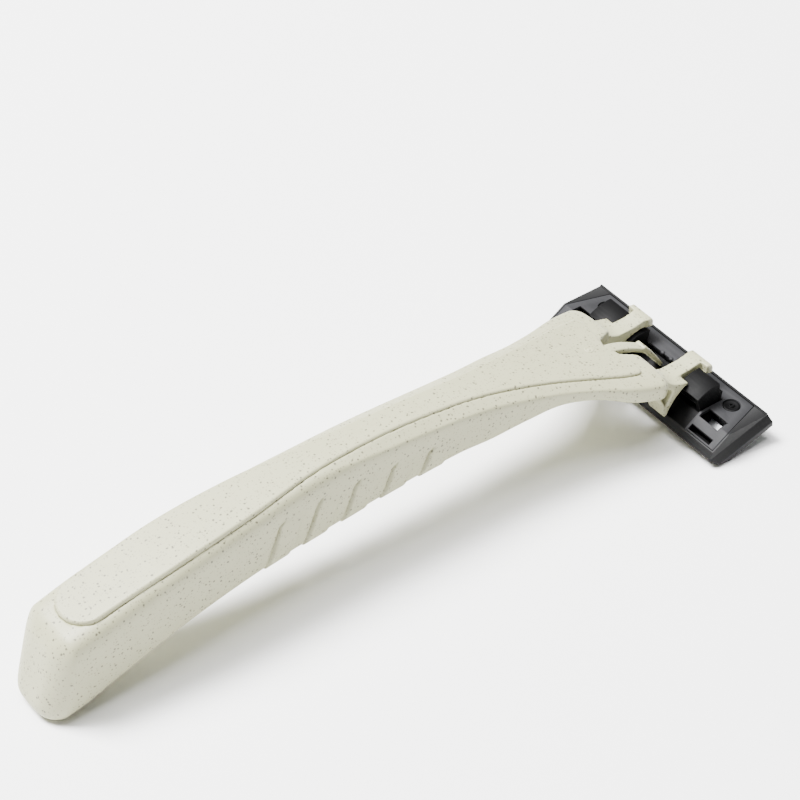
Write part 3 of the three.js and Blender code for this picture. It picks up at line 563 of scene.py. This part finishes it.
# ---- Cartridge frame ----
# Dark grey ABS, injection moulded: the bar ahead of the blades, the bar behind them and the two
# end walls, with a fine spark-eroded grain and small rounded edges.
def softened(node, name, width, material, segments=3):
    """A copy of a CAD node with its flat faces whole again and its edges rounded."""
    bm = bmesh.new()
    bm.from_mesh(frame["nodes"][node].data)
    bmesh.ops.remove_doubles(bm, verts=bm.verts, dist=2e-6)
    bmesh.ops.dissolve_limit(bm, angle_limit=math.radians(0.6), verts=bm.verts, edges=bm.edges)
    piece = put(name, bm, material)
    edge = piece.modifiers.new("rounded_edges", "BEVEL")
    edge.width = width * MM
    edge.segments = segments
    edge.limit_method = "ANGLE"
    edge.angle_limit = math.radians(28)
    edge.harden_normals = True
    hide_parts(node)
    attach(piece, "cartridge")
    return piece


dark_abs, tree, shader, place = new_material("spark_grained_abs")
pits = add_node(tree, "ShaderNodeTexNoise", {"Scale": 1 / (0.25 * MM), "Detail": 4.0},
                {"Vector": place})
tone = add_node(tree, "ShaderNodeMix",
                {"data_type": "RGBA", 6: linear("#0a0a0b"), 7: linear("#0f0f10")},
                {0: pits.outputs["Fac"]})
tree.links.new(tone.outputs[2], shader.inputs["Base Color"])
shine = add_node(tree, "ShaderNodeMapRange", {"To Min": 0.5, "To Max": 0.66},
                 {"Value": pits.outputs["Fac"]})
tree.links.new(shine.outputs["Result"], shader.inputs["Roughness"])
shader.inputs["IOR"].default_value = 1.53
shader.inputs["Specular IOR Level"].default_value = 0.22
relief = add_node(tree, "ShaderNodeBump", {"Strength": 0.25, "Distance": 0.02 * MM},
                  {"Height": pits.outputs["Fac"]})
tree.links.new(relief.outputs["Normal"], shader.inputs["Normal"])
shell = softened("cartridge_frame", "cartridge_shell", 0.16, dark_abs)

# ---- Bearing seat ----
# Matt black acetal: the seat that the blade supports stand in, with two curved bosses and the
# two hoods that slide on the handle's rails.
acetal, tree, shader, place = new_material("moulded_black_acetal")
wave = add_node(tree, "ShaderNodeTexNoise", {"Scale": 1 / (1.6 * MM), "Detail": 2.0},
                {"Vector": place})
tone = add_node(tree, "ShaderNodeMix",
                {"data_type": "RGBA", 6: linear("#030303"), 7: linear("#050506")},
                {0: wave.outputs["Fac"]})
tree.links.new(tone.outputs[2], shader.inputs["Base Color"])
shine = add_node(tree, "ShaderNodeMapRange", {"To Min": 0.5, "To Max": 0.62},
                 {"Value": wave.outputs["Fac"]})
tree.links.new(shine.outputs["Result"], shader.inputs["Roughness"])
shader.inputs["IOR"].default_value = 1.48
shader.inputs["Specular IOR Level"].default_value = 0.1
seat = softened("bearing_seat", "bearing_seat_moulding", 0.09, acetal, segments=2)

# ---- Back plate ----
# Grey ABS with a brushed texture cut in the mould: a strip along the front and a tab at each end,
# with the rinse windows and the rivets' recesses.
brushed_abs, tree, shader, place = new_material("brushed_texture_abs")
stretch = add_node(tree, "ShaderNodeMapping", {"Scale": (1.0, 0.06, 1.0)}, {"Vector": place})
lines = add_node(tree, "ShaderNodeTexNoise", {"Scale": 1 / (0.16 * MM), "Detail": 3.0},
                 {"Vector": stretch.outputs["Vector"]})
tone = add_node(tree, "ShaderNodeMix",
                {"data_type": "RGBA", 6: linear("#1c1c1e"), 7: linear("#2a2a2c")},
                {0: lines.outputs["Fac"]})
tree.links.new(tone.outputs[2], shader.inputs["Base Color"])
shine = add_node(tree, "ShaderNodeMapRange", {"To Min": 0.55, "To Max": 0.75},
                 {"Value": lines.outputs["Fac"]})
tree.links.new(shine.outputs["Result"], shader.inputs["Roughness"])
shader.inputs["Specular IOR Level"].default_value = 0.25
relief = add_node(tree, "ShaderNodeBump", {"Strength": 0.35, "Distance": 0.02 * MM},
                  {"Height": lines.outputs["Fac"]})
tree.links.new(relief.outputs["Normal"], shader.inputs["Normal"])
plate = softened("back_plate", "back_plate_moulding", 0.07, brushed_abs, segments=2)

# Four small moulding pips stand on the plate's inner edge, over the recess.
TILT = math.radians(15.7)
bm = bmesh.new()
for across in (-4.2, -1.0, 1.0, 4.2):
    pip = bmesh.ops.create_uvsphere(bm, u_segments=16, v_segments=10, radius=0.34)["verts"]
    bmesh.ops.scale(bm, verts=pip, vec=(1.0, 1.25, 0.8))
    bmesh.ops.translate(bm, verts=pip, vec=(2.2, across, 3.2))
bmesh.ops.rotate(bm, verts=bm.verts, matrix=Matrix.Rotation(-TILT, 3, "Y"))
bmesh.ops.translate(bm, verts=bm.verts, vec=(0, 0, AXIS_Z))
set_down(bm)
pips = put("plate_pips", bm, brushed_abs)
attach(pips, "cartridge")

# ---- Blades and supports ----
# Three ground strips of hardened stainless steel, each spot welded to a bent support of soft
# stainless strip. Grinding lines run along the edge, rolling marks along the support.
def strip_steel(name, dark, light, grain_mm, low, high):
    material, tree, shader, place = new_material(name)
    stretch = add_node(tree, "ShaderNodeMapping", {"Scale": (1.0, 0.04, 1.0)}, {"Vector": place})
    lines = add_node(tree, "ShaderNodeTexNoise", {"Scale": 1 / (grain_mm * MM), "Detail": 3.0},
                     {"Vector": stretch.outputs["Vector"]})
    tone = add_node(tree, "ShaderNodeMix", {"data_type": "RGBA", 6: linear(dark), 7: linear(light)},
                    {0: lines.outputs["Fac"]})
    tree.links.new(tone.outputs[2], shader.inputs["Base Color"])
    shine = add_node(tree, "ShaderNodeMapRange", {"To Min": low, "To Max": high},
                     {"Value": lines.outputs["Fac"]})
    tree.links.new(shine.outputs["Result"], shader.inputs["Roughness"])
    shader.inputs["Metallic"].default_value = 1.0
    return material


edge_steel = strip_steel("ground_stainless_strip", "#b4b6b9", "#d8dadc", 0.08, 0.16, 0.3)
soft_steel = strip_steel("rolled_stainless_strip", "#b4b6b8", "#d6d8da", 0.12, 0.28, 0.42)
for i in (1, 2, 3):
    blade = softened(f"blade_{i}", f"blade_{i}_ground", 0.012, edge_steel, segments=1)
    support = softened(f"blade_support_{i}", f"blade_support_{i}_bent", 0.03, soft_steel,
                       segments=2)

# ---- Guard strip and lubricating strip ----
# The guard strip is a thermoplastic elastomer with four fine fins, moulded on to the frame. The
# lubricating strip is a dry, slightly porous water-soluble polymer, glued in its channel.
elastomer, tree, shader, place = new_material("matt_elastomer")
dust = add_node(tree, "ShaderNodeTexNoise", {"Scale": 1 / (0.3 * MM), "Detail": 3.0},
                {"Vector": place})
tone = add_node(tree, "ShaderNodeMix",
                {"data_type": "RGBA", 6: linear("#2c2d2f"), 7: linear("#3a3b3d")},
                {0: dust.outputs["Fac"]})
tree.links.new(tone.outputs[2], shader.inputs["Base Color"])
shader.inputs["Roughness"].default_value = 0.78
guard = softened("guard_strip", "guard_fins", 0.03, elastomer, segments=2)

balm, tree, shader, place = new_material("dry_lubricant_polymer")
pores = add_node(tree, "ShaderNodeTexNoise", {"Scale": 1 / (0.35 * MM), "Detail": 4.0},
                 {"Vector": place})
tone = add_node(tree, "ShaderNodeMix",
                {"data_type": "RGBA", 6: linear("#b6d1bc"), 7: linear("#cbe0cf")},
                {0: pores.outputs["Fac"]})
tree.links.new(tone.outputs[2], shader.inputs["Base Color"])
shader.inputs["Roughness"].default_value = 0.55
relief = add_node(tree, "ShaderNodeBump", {"Strength": 0.3, "Distance": 0.04 * MM},
                  {"Height": pores.outputs["Fac"]})
tree.links.new(relief.outputs["Normal"], shader.inputs["Normal"])
strip = softened("lubricating_strip", "lubricating_bar", 0.1, balm)

# ---- Rivets ----
# Two hollow acetal studs, melted over in the plate's round recesses to hold the stack together.
for side in ("left", "right"):
    stud = softened(f"rivet_{side}", f"rivet_{side}_stud", 0.05, acetal, segments=2)
